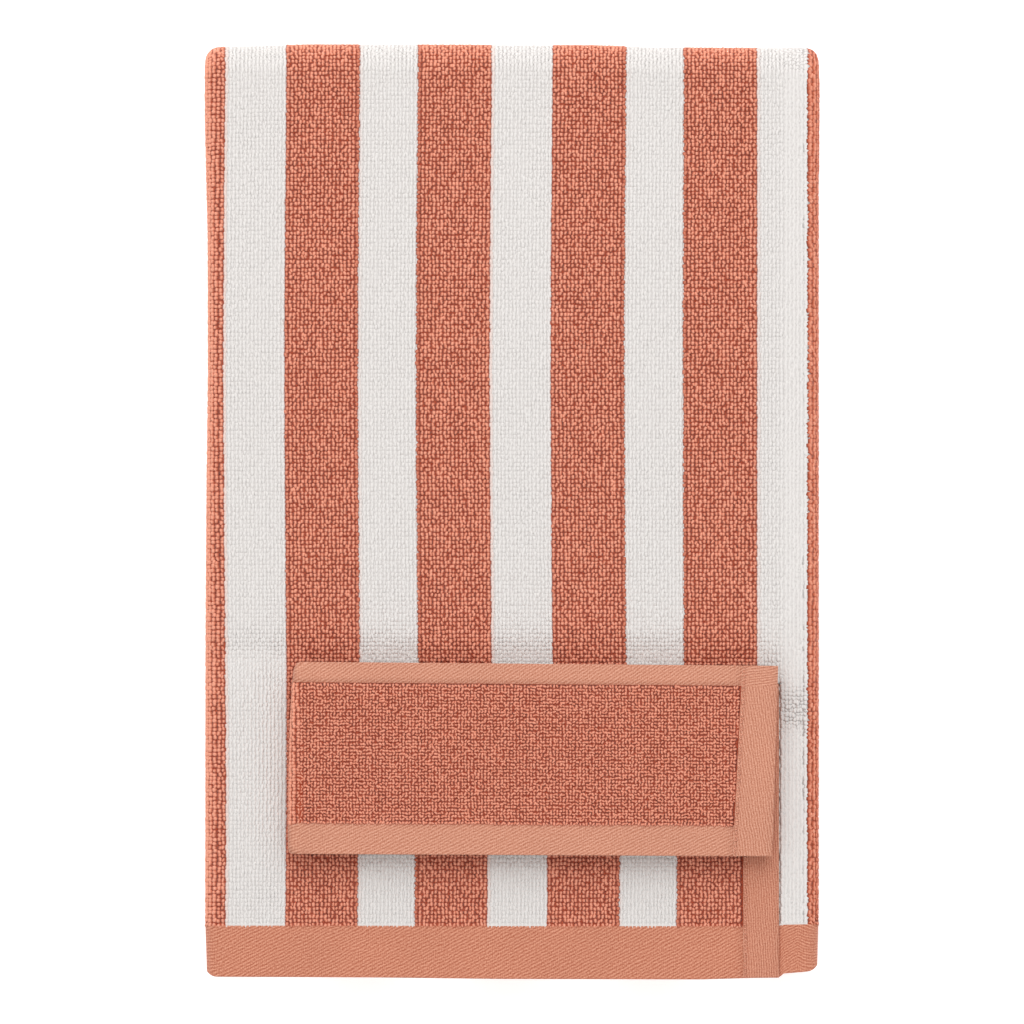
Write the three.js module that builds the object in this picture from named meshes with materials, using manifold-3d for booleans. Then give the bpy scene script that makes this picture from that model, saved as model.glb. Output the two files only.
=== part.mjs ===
// A hand towel folded in thirds both ways, lying flat, with a strip of its plain side turned out on top.
// Millimetres. X runs across the folded towel, Y up its front, Z up from the surface that it lies on.
import * as THREE from "three";
import { mergeVertices } from "three/addons/utils/BufferGeometryUtils.js";
import Module from "manifold-3d";

// The folded towel
const WIDTH = 177.8;
const HEIGHT = 270.2;

// One ply of terry, the flat woven hems, and the air between plies
const PILE_THICK = 2.9;
const HEM_THICK = 2.0;
const PLY_AIR = 0.5;
const BUNDLE_AIR = 0.8;
const END_HEM = 15.1;
const SIDE_HEM = 10.4;
const PILE_STEP = 0.8; // the pile ends this far inside a hem's line

// The three plies side by side: front ply, inner ply and back ply
const FRONT_EDGE_X = 77.6; // free side hem of the front ply
const INNER_EDGE_X = -79; // free side hem of the inner ply, hidden
const DIP_LOW_X = 78.1; // the inner ply rises beside the front ply's hem
const DIP_HIGH_X = 81.4;
const SIDE_LIFT = 2.1; // how far it rises there
const OPEN_TOP_Y = -49; // the side hem shows below this line only, and above it the face is closed
const LIFT_FADE = 16; // the rise changes over this length below the line
const JOINED_END_Y = 96; // behind the top fold the face is open again from here

// The long way: three panels, the top fold and the bottom fold
const FOLD_SQUASH = 0.85; // a fold reaches out less than half a circle does
const BOTTOM_FOLD_INSET = 1.6;
const LAST_PANEL_END_Y = 125.5;
const CORNER_ROUND = 4.2;
const CORNER_FADE = 22;
const RIGHT_COLUMN_SHORT = 1.1; // the inner ply's end hem stops this far above the front ply's

// The turned-out strip on the front
const FLAP_TOP_Y = -43.8;
const FLAP_BOTTOM_Y = -100.1;
const FLAP_LEFT_X = { top: -63.4, bottom: -64.8 };
const FLAP_RIGHT_X = { top: 77.2, bottom: 75.9 };
const FLAP_UNDER_SHORT = 1.2; // the lower ply stops this far short of the upper one
const FLAP_TOP_HEM = 6.4;
const FLAP_BOTTOM_HEM = 9.0;
const FLAP_SEAT = 0.4; // air under it
const FLAP_SEAM = { from: 2, to: 6, sunk: 1.0 }; // joined to the ply beneath along this strip below its top
const FLAP_CORNER = 2.6;

// The outline's slow unevenness, in millimetres outwards at places along an edge
const LEFT_EDGE = [
  { at: -135, out: -0.5 },
  { at: -118, out: 0 },
  { at: -40, out: -0.1 },
  { at: 10, out: -0.4 },
  { at: 40, out: -0.8 },
  { at: 80, out: -0.7 },
  { at: 110, out: 0 },
  { at: 135, out: 0.2 },
];
const RIGHT_EDGE = [
  { at: -135, out: -0.4 },
  { at: -115, out: 0 },
  { at: 90, out: 0 },
  { at: 122, out: 0.3 },
  { at: 135, out: 0 },
];
const TOP_EDGE = [
  { at: -89, out: -0.5 },
  { at: -75, out: 0 },
  { at: -58, out: 0.4 },
  { at: -30, out: 0.2 },
  { at: 10, out: -0.2 },
  { at: 40, out: -0.7 },
  { at: 89, out: -0.6 },
];
const TOP_EDGE_FADE_Y = 60;

// How finely the folds and runs are divided, on the front and where other plies hide them
const FOLD_STEPS = 6;
const RUN_STEPS = 5;
const HIDDEN_STEPS = 3;

const HALF_PILE = PILE_THICK / 2;
const HALF_HEM = HEM_THICK / 2;
const PITCH = PILE_THICK + PLY_AIR;
const BUNDLE_HALF = PITCH + HALF_PILE;
const BUNDLE_PITCH = 2 * BUNDLE_HALF + BUNDLE_AIR;
const LEFT = -WIDTH / 2;
const RIGHT = WIDTH / 2;
const LEVELS = { back: BUNDLE_HALF, middle: BUNDLE_HALF + BUNDLE_PITCH, front: BUNDLE_HALF + 2 * BUNDLE_PITCH };
const FRONT_TOP = LEVELS.front + BUNDLE_HALF;
const FOLD_REACH = FOLD_SQUASH * (BUNDLE_PITCH / 2 + BUNDLE_HALF);
const FRONT_END_Y = -HEIGHT / 2;
const TOP_FOLD_Y = HEIGHT / 2 - 0.4 - FOLD_REACH;
const BOTTOM_FOLD_Y = FRONT_END_Y + BOTTOM_FOLD_INSET + FOLD_REACH;

const clamp = (x) => Math.min(1, Math.max(0, x));
const smooth = (x) => clamp(x) ** 2 * (3 - 2 * clamp(x));
const mix = (a, b, t) => a + (b - a) * t;
const spread = (a, b, steps) => Array.from({ length: steps + 1 }, (_, i) => mix(a, b, i / steps));

// The value of a table of places at one place, in straight steps between its rows.
function along(table, at) {
  const last = table.length - 1;
  if (at <= table[0].at) return table[0].out;
  if (at >= table[last].at) return table[last].out;
  const i = table.findIndex((row) => row.at > at) - 1;
  return mix(table[i].out, table[i + 1].out, (at - table[i].at) / (table[i + 1].at - table[i].at));
}

// Half the thickness at a distance from a free edge that has a hem of the given width.
function halfThick(fromEdge, hem) {
  return mix(HALF_HEM, HALF_PILE, clamp((fromEdge - hem) / PILE_STEP));
}

// The stations down one ply's section, from the front ply's free edge round both folds to the inner ply's edge.
// Each has its place, x and h above the bundle's middle, the way its striped side faces, and its half thickness.
// The front ply's side hem is as wide as frontHem says, or nothing where the face is closed.
function section(left, right, lift, frontHem) {
  const line = [];
  const add = (x, h, nx, nh, half) => line.push({ x, h, nx, nh, half });
  const bend = (cx, ch, rx, rh, from, to) => {
    for (const a of spread(from, to, FOLD_STEPS))
      add(cx + rx * Math.cos(a), ch + rh * Math.sin(a), Math.cos(a), Math.sin(a), HALF_PILE);
  };
  const leftBendX = left + BUNDLE_HALF;
  const rightBendX = right - BUNDLE_HALF;
  const frontHemX = FRONT_EDGE_X - SIDE_HEM;
  const innerHemX = INNER_EDGE_X + SIDE_HEM;
  for (const x of [FRONT_EDGE_X, frontHemX, ...spread(frontHemX - PILE_STEP, leftBendX, RUN_STEPS).slice(0, -1)])
    add(x, PITCH, 0, 1, frontHem ? halfThick(FRONT_EDGE_X - x, frontHem) : HALF_PILE);
  bend(leftBendX, 0, PITCH, PITCH, Math.PI / 2, (3 * Math.PI) / 2);
  for (const x of spread(leftBendX, rightBendX, HIDDEN_STEPS).slice(1, -1)) add(x, -PITCH, 0, -1, HALF_PILE);
  bend(rightBendX, (lift - PITCH) / 2, PITCH, (lift + PITCH) / 2, -Math.PI / 2, Math.PI / 2);
  line.columnTop = line.length;
  for (const x of spread(DIP_HIGH_X, DIP_LOW_X, 4))
    add(x, lift * smooth((x - DIP_LOW_X) / (DIP_HIGH_X - DIP_LOW_X)), 0, 1, HALF_PILE);
  line.columnFoot = line.length - 1;
  for (const x of [...spread(DIP_LOW_X - 4, innerHemX + PILE_STEP, HIDDEN_STEPS), innerHemX, INNER_EDGE_X])
    add(x, 0, 0, 1, halfThick(x - INNER_EDGE_X, SIDE_HEM));
  return line;
}

// The rows up the towel's length. Each is one place on the bundle's middle line: its panel or fold, and how far on.
function lengthRows() {
  const rows = [];
  const run = (panel, ys) => ys.forEach((y) => rows.push({ panel, y }));
  const fold = (panel) => spread(0, Math.PI, FOLD_STEPS).slice(1, -1).forEach((turn) => rows.push({ panel, turn }));
  const hemY = FRONT_END_Y + END_HEM;
  run("front", [FRONT_END_Y, FRONT_END_Y + 3, hemY, hemY + PILE_STEP, -92, OPEN_TOP_Y - LIFT_FADE]);
  run("front", [OPEN_TOP_Y - LIFT_FADE / 2, OPEN_TOP_Y - PILE_STEP, OPEN_TOP_Y]);
  run("front", spread(OPEN_TOP_Y, TOP_FOLD_Y, RUN_STEPS).slice(1));
  fold("top");
  run("middle", [TOP_FOLD_Y, ...spread(JOINED_END_Y, BOTTOM_FOLD_Y, HIDDEN_STEPS)]);
  fold("bottom");
  const lastHemY = LAST_PANEL_END_Y - END_HEM;
  run("back", [...spread(BOTTOM_FOLD_Y, lastHemY - PILE_STEP, HIDDEN_STEPS), lastHemY, LAST_PANEL_END_Y]);
  return rows;
}

// How far a row lies from the end hem that is on its own panel.
function fromEnd(row) {
  if (row.panel === "front") return row.y - FRONT_END_Y;
  if (row.panel === "back") return LAST_PANEL_END_Y - row.y;
  return Infinity;
}

// The inner ply's rise beside the front ply's hem, which is full where the face is closed.
function liftAt(row) {
  const low = { front: row.y, top: 0, middle: row.y - JOINED_END_Y - LIFT_FADE + OPEN_TOP_Y }[row.panel];
  if (low === undefined) return SIDE_LIFT;
  return mix(SIDE_LIFT, PITCH, smooth((low - OPEN_TOP_Y + LIFT_FADE) / LIFT_FADE));
}

const isClosed = (row) =>
  row.panel === "top" ||
  (row.panel === "front" && row.y >= OPEN_TOP_Y) ||
  (row.panel === "middle" && row.y >= JOINED_END_Y);

// The round of the folded corners at the front end, and the shorter inner ply on the right.
function endDraw(x, fromFrontEnd) {
  const near = Math.min(x - LEFT, RIGHT - x);
  const off = clamp((CORNER_ROUND - near) / CORNER_ROUND);
  const round = CORNER_ROUND * (1 - Math.sqrt(1 - off * off));
  const short = RIGHT_COLUMN_SHORT * smooth((x - DIP_LOW_X) / 2);
  return (round + short) * (1 - smooth(fromFrontEnd / CORNER_FADE));
}

// A point of the section, at height h in its bundle, placed on a row of the folded length.
function place(row, x, h) {
  const half = BUNDLE_PITCH / 2;
  const top = along(TOP_EDGE, x);
  const topPull = (y) => top * smooth((y - TOP_EDGE_FADE_Y) / (TOP_FOLD_Y - TOP_EDGE_FADE_Y));
  if (row.panel === "top") {
    const r = half + h;
    const y = TOP_FOLD_Y + top + FOLD_SQUASH * r * Math.sin(row.turn);
    return [x, y, (LEVELS.front + LEVELS.middle) / 2 + r * Math.cos(row.turn)];
  }
  if (row.panel === "bottom") {
    const r = half - h;
    const y = BOTTOM_FOLD_Y - FOLD_SQUASH * r * Math.sin(row.turn);
    return [x, y, (LEVELS.middle + LEVELS.back) / 2 + r * Math.cos(row.turn)];
  }
  const z = LEVELS[row.panel] + (row.panel === "middle" ? -h : h);
  if (row.panel === "front") return [x, row.y + topPull(row.y) + endDraw(x, row.y - FRONT_END_Y), z];
  return [x, row.y + (row.panel === "middle" ? topPull(row.y) : 0), z];
}

// A closed mesh from rows of points, each row one loop of the ply's section, with a rim at both ends.
class Shell {
  constructor() {
    this.points = [];
    this.faces = [];
  }
  triangle(a, b, c) {
    this.faces.push(a, b, c);
  }
  quad(a, b, c, d) {
    this.triangle(a, b, c);
    this.triangle(a, c, d);
  }
  geometry() {
    const g = new THREE.BufferGeometry();
    g.setAttribute("position", new THREE.BufferAttribute(new Float32Array(this.points.flat()), 3));
    g.setIndex(this.faces);
    return g;
  }
}

// Joins the loops of consecutive rows. Loops hold the striped side's points, then the plain side's in return.
function sweepLoops(shell, loops, closedFrom, closedTo, columnTop, columnFoot) {
  const size = loops[0].length;
  const n = size / 2;
  const at = (j, i) => j * size + (i % size);
  const wall = (j, a, b) => shell.quad(at(j, a), at(j, b), at(j + 1, b), at(j + 1, a));
  loops.forEach((loop) => shell.points.push(...loop));
  for (let j = 0; j < loops.length - 1; j++) {
    const closed = j >= closedFrom && j < closedTo;
    for (let i = 0; i < size; i++) {
      const open = i === size - 1 || (i >= columnTop && i < columnFoot);
      if (!(closed && open)) wall(j, i, i + 1);
    }
    if (closed) {
      wall(j, columnTop, 0);
      wall(j, size - 1, columnFoot);
    }
  }
  const first = 0;
  const last = loops.length - 1;
  for (let k = 0; k < n - 1; k++) {
    const back = size - 1 - k;
    shell.quad(at(first, k), at(first, back), at(first, back - 1), at(first, k + 1));
    shell.quad(at(last, k), at(last, k + 1), at(last, back - 1), at(last, back));
  }
  if (closedFrom >= closedTo) return;
  for (let i = columnTop; i <= columnFoot; i++) {
    const next = i === columnFoot ? size - 1 : i + 1;
    shell.triangle(at(closedFrom, 0), at(closedFrom, i), at(closedFrom, next));
    shell.triangle(at(closedTo, 0), at(closedTo, next), at(closedTo, i));
  }
}

const loopOf = (line, sidePoint) => [
  ...line.map((s) => sidePoint(s, 1)),
  ...[...line].reverse().map((s) => sidePoint(s, -1)),
];

// The whole cloth, folded in thirds both ways.
function foldedCloth() {
  const rows = lengthRows();
  const loops = [];
  let line;
  for (const row of rows) {
    const y = row.panel === "bottom" ? BOTTOM_FOLD_Y : (row.y ?? TOP_FOLD_Y);
    const frontHem = isClosed(row) ? 0 : SIDE_HEM;
    line = section(LEFT - along(LEFT_EDGE, y), RIGHT + along(RIGHT_EDGE, y), liftAt(row), frontHem);
    const endHalf = halfThick(fromEnd(row), END_HEM);
    const sidePoint = (s, side) => {
      const half = side * Math.min(s.half, endHalf);
      return place(row, s.x + s.nx * half, s.h + s.nh * half);
    };
    loops.push(loopOf(line, sidePoint));
  }
  const closedFrom = rows.findIndex(isClosed);
  const closedTo = rows.findLastIndex(isClosed);
  const shell = new Shell();
  sweepLoops(shell, loops, closedFrom, closedTo, line.columnTop, line.columnFoot);
  return shell.geometry();
}

// The strip on the front: two plies with a fold at the left and hems on the other sides.
function flap() {
  const bendRadius = PITCH / 2;
  const lower = FRONT_TOP + FLAP_SEAT + HALF_PILE;
  const middle = lower + bendRadius;
  const length = FLAP_TOP_Y - FLAP_BOTTOM_Y;
  const { from, to, sunk } = FLAP_SEAM;
  const downs = [0, 1.2, from, (from + to) / 2, to, FLAP_TOP_HEM + PILE_STEP, 18, 32];
  downs.push(length - FLAP_BOTTOM_HEM - PILE_STEP, length - FLAP_BOTTOM_HEM, length - 1.2, length);
  const loops = downs.map((down) => {
    const share = down / length;
    const nearEnd = Math.min(down, length - down);
    const round = FLAP_CORNER * (1 - Math.sqrt(1 - clamp(1 - nearEnd / FLAP_CORNER) ** 2));
    const left = mix(FLAP_LEFT_X.top, FLAP_LEFT_X.bottom, share) + round;
    const right = mix(FLAP_RIGHT_X.top, FLAP_RIGHT_X.bottom, share);
    const bendX = left + bendRadius + HALF_PILE;
    const endHalf = Math.min(halfThick(down, FLAP_TOP_HEM), halfThick(length - down, FLAP_BOTTOM_HEM));
    const line = [];
    const add = (x, h, nx, nh, fromSide) =>
      line.push({ x, h, nx, nh, half: Math.min(endHalf, halfThick(fromSide, SIDE_HEM)) });
    const run = (edge) => [edge, edge - SIDE_HEM, ...spread(edge - SIDE_HEM - PILE_STEP, bendX, 4).slice(0, -1)];
    for (const x of run(right)) add(x, bendRadius, 0, 1, right - x);
    for (const a of spread(Math.PI / 2, (3 * Math.PI) / 2, FOLD_STEPS))
      add(bendX + bendRadius * Math.cos(a), bendRadius * Math.sin(a), Math.cos(a), Math.sin(a), WIDTH);
    const under = right - FLAP_UNDER_SHORT;
    for (const x of run(under).reverse()) add(x, -bendRadius, 0, -1, under - x);
    const foot = down >= from && down <= to ? sunk : 0;
    const sidePoint = (s, side) => {
      const sink = side > 0 && s.nh === -1 ? foot + (HALF_PILE - s.half) * Math.sign(foot) : 0;
      return [s.x + s.nx * side * s.half, FLAP_TOP_Y - down, middle + s.h + s.nh * side * s.half - sink];
    };
    return loopOf(line, sidePoint);
  });
  const shell = new Shell();
  sweepLoops(shell, loops, 0, 0, 0, 0);
  return shell.geometry();
}

const wasm = await Module();
wasm.setup();

// A closed geometry as a solid, with its faces turned out if they pointed in.
function solidOf(geometry) {
  const merged = mergeVertices(geometry, 1e-4);
  const index = new Uint32Array(merged.index.array);
  const make = () =>
    new wasm.Manifold(
      new wasm.Mesh({ numProp: 3, vertProperties: merged.attributes.position.array, triVerts: index }),
    );
  const solid = make();
  if (solid.volume() > 0) return solid;
  for (let i = 0; i < index.length; i += 3) [index[i + 1], index[i + 2]] = [index[i + 2], index[i + 1]];
  return make();
}

function geometryOf(solid) {
  const mesh = solid.getMesh();
  const g = new THREE.BufferGeometry();
  g.setAttribute("position", new THREE.BufferAttribute(new Float32Array(mesh.vertProperties), 3));
  g.setIndex(new THREE.BufferAttribute(new Uint32Array(mesh.triVerts), 1));
  g.computeVertexNormals();
  return g;
}

const coralTerry = new THREE.MeshStandardMaterial({ color: 0xc67a60, roughness: 0.95, metalness: 0 });
const towel = new THREE.Mesh(geometryOf(solidOf(foldedCloth()).add(solidOf(flap()))), coralTerry);
towel.name = "towel";

// The origin lies under the middle of the outline.
const middle = new THREE.Box3().setFromObject(towel).getCenter(new THREE.Vector3());
towel.position.set(-middle.x, -middle.y, 0);

const part = new THREE.Group();
part.add(towel);
export default part;
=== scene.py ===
import math
from functools import partial

import bmesh
import bpy
import numpy as np
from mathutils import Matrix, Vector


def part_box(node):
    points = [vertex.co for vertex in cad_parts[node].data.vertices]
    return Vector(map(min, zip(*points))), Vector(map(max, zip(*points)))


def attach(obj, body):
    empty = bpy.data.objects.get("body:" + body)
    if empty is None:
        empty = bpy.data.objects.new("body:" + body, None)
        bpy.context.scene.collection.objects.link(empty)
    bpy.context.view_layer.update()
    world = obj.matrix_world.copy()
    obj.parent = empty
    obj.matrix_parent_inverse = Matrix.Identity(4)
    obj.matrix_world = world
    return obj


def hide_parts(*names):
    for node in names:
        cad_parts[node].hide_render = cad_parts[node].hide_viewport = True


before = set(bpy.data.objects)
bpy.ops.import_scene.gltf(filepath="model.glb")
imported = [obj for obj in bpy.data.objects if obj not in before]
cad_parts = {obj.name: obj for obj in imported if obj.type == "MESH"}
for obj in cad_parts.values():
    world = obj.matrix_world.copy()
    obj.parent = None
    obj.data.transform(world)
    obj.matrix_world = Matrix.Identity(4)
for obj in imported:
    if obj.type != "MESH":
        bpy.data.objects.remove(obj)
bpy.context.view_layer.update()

# A hand towel in looped terry, folded in thirds both ways, with a strip of its plain side turned out on
# the front. Sizes in this script are millimetres, and MM turns them into Blender's metres. X runs across
# the towel and Y up its front.
MM = 0.001
DRAWS = np.random.default_rng(7)

# The towel's outline comes from the frame, and the pile reaches past it.
PILE_PAST_LEFT = 0.3
PILE_PAST_RIGHT = 0.55
PILE_PAST_TOP = 1.1
TOWEL_LOW, TOWEL_HIGH = (np.array(corner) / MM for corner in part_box("towel"))
LEFT, FRONT_END_Y = TOWEL_LOW[:2] - (PILE_PAST_LEFT, 0)
RIGHT, TOP_Y = TOWEL_HIGH[:2] + (PILE_PAST_RIGHT, PILE_PAST_TOP)

# One ply of terry with its loops, the flat woven hems and the air between plies
PILE_THICK = 2.9
HEM_THICK = 2.0
GROUND_THICK = 1.7  # the ply without its loops
PLY_AIR = 0.5
BUNDLE_AIR = 0.8
END_HEM = 15.1
SIDE_HEM = 10.4
PILE_STEP = 0.8  # over what width the cloth turns from hem to pile
SEAM_WIDE = 0.3
SEAM_DEEP = 0.35  # the groove along a side hem's inner edge
SIDE_HEM_PROUD = 0.25  # the side hem is turned last, so it lies over the end hem
SIDE_HEM_TAPER = (0.55, 0.8, 0.9, 1.0, 1.0, 1.0)  # its thickness from the free edge inwards, as shares
HEM_POINTS = len(SIDE_HEM_TAPER)
EDGE_ROUND = 0.3  # how narrow the rounding along a free edge is

# The three plies side by side
FRONT_EDGE_X = 77.6
INNER_EDGE_X = -79.0
DIP_LOW_X = 72.6  # from here to the next the inner ply rises into the column on the right
DIP_HIGH_X = 79.0
SIDE_LIFT = 2.3
FREE_EDGE_SINK = 0.3  # how far the front ply's free edge sinks on to the inner ply
OPEN_TOP_Y = -49.0  # below here the front ply's side hem lies free
LIFT_FADE = 16.0
JOINED_END_Y = 96.0  # the same change-over in the hidden middle panel

# The panels and folds of the long way
FOLD_SQUASH = 0.85
BOTTOM_FOLD_INSET = 1.6
LAST_PANEL_END_Y = 125.5
CORNER_ROUND = 3.4
CORNER_FADE = 22.0
RIGHT_COLUMN_SHORT = 1.1
RIGHT_COLUMN_SLOPE = 0.08
LOWER_INSET = 0.45  # how much further in the panels below the front one fold

# The outline's slow unevenness: places along an edge, and millimetres outwards there
LEFT_EDGE = ([-135, -118, -40, 10, 40, 80, 110, 135], [-0.5, 0, -0.1, -0.4, -0.8, -0.7, 0, 0.2])
RIGHT_EDGE = ([-135, -115, 90, 122, 135], [-0.4, 0, 0, 0.3, 0])
TOP_EDGE = ([-89, -75, -58, -30, 10, 24, 40, 60, 89], [-0.5, 0, 0.4, 0.35, 0.2, 0.15, -0.4, -0.6, -0.6])
FRONT_END_EDGE = ([-89, -40, -3, 55, 72, 89], [0.3, 0.1, -0.35, -0.5, 0, 0])
TOP_EDGE_FADE_Y = 60.0
TOP_EDGE_MOST = 0.4

# The front's slow waves: height, length and start across, length and start up. A finer one runs aslant.
SWELL = (0.22, 29.0, 0.8, 37.0, 0.3)
SWELL_SLANT = (0.12, 11.0, 23.0)
SWELL_FADE = 25.0
# The soft troughs along the strip's edges: depth, how far off, half the width, the fade at the end, and
# how far past the strip's corner the second one ends
TROUGH_ABOVE = (0.5, 1.5, 5.0, 6.0)
TROUGH_BESIDE = (0.35, 3.0, 5.0, 14.0, 8.0)

# The stripes in the pile, measured across the cloth
STRIPE_REPEAT = 38.57
CORAL_STRIPE = 21.2
CORAL_START = -65.6
RIGHT_CORAL_SHIFT = 3.1  # the last stripe, which wraps the right fold, lies this far further in
STRIPE_DRAW = 0.0175  # how much narrower the stripes lie below the turned-out strip, as a share
STRIPE_WANDER = (0.3, 33.0, 0.3)  # how far the stripes wander sideways, over what length, from where
WANDER_FADE = 40.0  # how far from the side hem they wander fully
STRIPE_BLEND = 1.0  # how far from a stripe's edge its loops mix with the other yarn

# The strip on the front: two plies with a fold at the left and hems on the other sides
FLAP_TOP_Y = -43.4
FLAP_BOTTOM_Y = -99.1
FLAP_SLOPE = (1.2, 0.7)  # how much lower its top and bottom edges end on the right
FLAP_LEFT_X = (-63.4, -65.3)
FLAP_LEFT_BEND = 3.6  # how soon its left edge runs straight
FLAP_RIGHT_X = (77.3, 75.5)
FLAP_UNDER_SHORT = 1.2
FLAP_TOP_HEM = 5.9
FLAP_BOTTOM_HEM = 9.0
FLAP_SEAT = 0.4
FLAP_CORNERS = (1.8, 1.0)
FLAP_DROOP = 0.8  # how far its upper ply sinks at the thinner side hem
FLAP_DROOP_START = 4.0
FLAP_DROOP_FADE = 10.0
FLAP_HEM_WIDER = 1.0  # how much wider its side hem is at the bottom
FLAP_SWELL = 0.5  # how much of the front's waves it follows
FLAP_CREASE = (0.7, -61.2, 1.0, -72.0, 8.0)  # beside its fold: depth, X, half the width, top and fade

# The loops: how far apart they stand, how deep their roots sit, and how they differ from each other
LOOP_ACROSS = 1.12
LOOP_ALONG = 1.18
LOOP_ROOT = 0.1
COLUMN_CALM = 0.9  # how much flatter and more even the pile lies on the raised column
CALM_FADE = 2.0
CALM_FLATTER = 0.7
CALM_WIDER = 0.3
LEFT_FOLD_PAINTED_LIGHT = 0.9  # how much paler the loops are painted at the left folds, as painted light from the left
COLUMN_PAINTED_SHADE = -0.2  # and how much darker they are painted on the raised column, as painted shade
LOOP_DRIFT = 0.14  # how far a loop may stand off its place, as a share of the spacing
LOOP_LONGER = (0.8, 1.2)
LOOP_WIDER = (0.85, 1.15)
LOOP_TALLER = (0.7, 1.2)
FLOOR_CLEAR = 0.02

# Where loops stand: how far clear of the cloth's ends and of the hems, and how far under the strip's edges
COLUMN_CLEAR = 0.3
ROW_CLEAR = 0.25
UNDER_TOP = 1.5
UNDER_LEFT = 3.0
UNDER_RIGHT = 2.0
STRIP_FIRST_ROW = 0.7
STRIP_LAST_ROW = 0.3
STRIP_FOLD_SHARE = 0.8  # how much of the strip's fold has loops

STRIP_LOOP_APART = 0.95
STITCH_GAP = 1.15
STITCH_INSET = 0.6
COLUMN_TWILL_TURN_X = 83.0  # where the column's end hem turns its slant, seen from above

# How finely the cloth is divided: spacing where it shows and hides, and steps round the folds
FRONT_SPACING = 2.2
BACK_SPACING = 4.0
HIDDEN_SPACING = 7.0
INNER_SPACING = 14.0
UNDER_SPACING = 28.0
COLUMN_STEPS = 3
DIP_STEPS = 7
LINING_POINTS = 7  # the most that a run has on the cloth's hidden side
SIDE_FOLD_STEPS = 12
END_FOLD_STEPS = 28
FLAP_COLUMNS = 60
FLAP_UNDER_COLUMNS = 21
FLAP_TOP_HEM_ROWS = 4
FLAP_BOTTOM_HEM_ROWS = 5

FAR = 1e3  # a distance past every hem and fold
JUST_PAST = 1e-3
NEARLY = 0.01  # places this close count as one
SLIGHT = 1e-6
MERGE_METRES = 1e-7

HALF_PILE = PILE_THICK / 2
HALF_HEM = HEM_THICK / 2
HALF_GROUND = GROUND_THICK / 2
LOOP_RISE = HALF_PILE - HALF_GROUND
PITCH = PILE_THICK + PLY_AIR
BUNDLE_HALF = PITCH + HALF_PILE
BUNDLE_PITCH = 2 * BUNDLE_HALF + BUNDLE_AIR
LEVEL = {panel: BUNDLE_HALF + i * BUNDLE_PITCH for i, panel in enumerate(("back", "middle", "front"))}
FRONT_TOP = LEVEL["front"] + BUNDLE_HALF
FOLD_REACH = FOLD_SQUASH * (BUNDLE_PITCH / 2 + BUNDLE_HALF)
TOP_FOLD_Y = TOP_Y - TOP_EDGE_MOST - FOLD_REACH
BOTTOM_FOLD_Y = FRONT_END_Y + BOTTOM_FOLD_INSET + FOLD_REACH
FOLD_ARC = math.pi * (BUNDLE_PITCH / 2 + PITCH) * math.sqrt((1 + FOLD_SQUASH**2) / 2)
SIDE_FOLD_ARC = math.pi * PITCH
LEFT_BEND, RIGHT_BEND = LEFT + BUNDLE_HALF, RIGHT - BUNDLE_HALF

# Whole repeats of the stripes from the front ply's last stripe round the back to the raised column's
BACK_REPEATS = round((2 * (RIGHT_BEND - LEFT_BEND + SIDE_FOLD_ARC) + RIGHT_CORAL_SHIFT) / STRIPE_REPEAT)

FLAP_RADIUS = PITCH / 2
FLAP_MIDDLE = FRONT_TOP + FLAP_SEAT + HALF_PILE + FLAP_RADIUS
FLAP_LENGTH = FLAP_TOP_Y - FLAP_BOTTOM_Y
HEM_HALVES = (HALF_HEM + SIDE_HEM_PROUD) * np.array(SIDE_HEM_TAPER)  # half a side hem, from its free edge

# Each yarn's loops: their width and length, height, how far they turn from their aim and how far they lean
CORAL_LOOPS = {"size": (1.38, 1.65), "rise": LOOP_RISE, "turned": 0.55, "lean": 0.3}
WHITE_LOOPS = {"size": (1.35, 2.2), "rise": 0.22, "turned": 0.15, "lean": 0.1}
STRIP_LOOPS = {"size": (1.08, 1.45), "rise": LOOP_RISE, "turned": 1.5, "lean": 0.25}
STITCHES = {"size": (0.6, 1.2), "rise": 0.35, "turned": 0.4, "lean": 0.05, "aim": 1.1}


def smooth(x):
    x = np.clip(x, 0, 1)
    return x * x * (3 - 2 * x)


def mix(a, b, t):
    return a + (b - a) * t


def bell(off, wide):
    return np.exp(-((off / wide) ** 2))


def half_thick(from_edge, hem):
    """Half the ground weave's thickness at a distance from a free edge that has a hem."""
    return mix(HALF_HEM, HALF_GROUND, np.clip((from_edge - hem) / PILE_STEP, 0, 1))


def steps(a, b, spacing):
    return np.linspace(a, b, max(2, round(abs(b - a) / spacing) + 1))


def swell(x, y):
    """The slow rise and fall of the front, and the soft troughs beside the strip's edges."""
    height, across, across_start, up, up_start = SWELL
    slow = height * np.sin(x / across + across_start) * np.sin(y / up + up_start)
    height, across, up = SWELL_SLANT
    slow = slow + height * np.sin(x / across + y / up)
    depth, off, wide, fade = TROUGH_ABOVE
    above = depth * bell(y - FLAP_TOP_Y - off, wide) * smooth((FLAP_RIGHT_X[0] - x) / fade)
    depth, off, wide, fade, top = TROUGH_BESIDE
    beside = depth * bell(x - FLAP_LEFT_X[0] + off, wide) * smooth((FLAP_TOP_Y + top - y) / fade)
    return (slow - above - beside) * smooth((TOP_FOLD_Y - y) / SWELL_FADE)


def hem_columns(edge, seam):
    """The places from a free edge to its hem's seam, with a narrow rounding at the edge."""
    inwards = math.copysign(EDGE_ROUND, seam - edge)
    return np.concatenate([[edge], np.linspace(edge + inwards, seam, HEM_POINTS - 1)])


# The section across the towel


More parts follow.
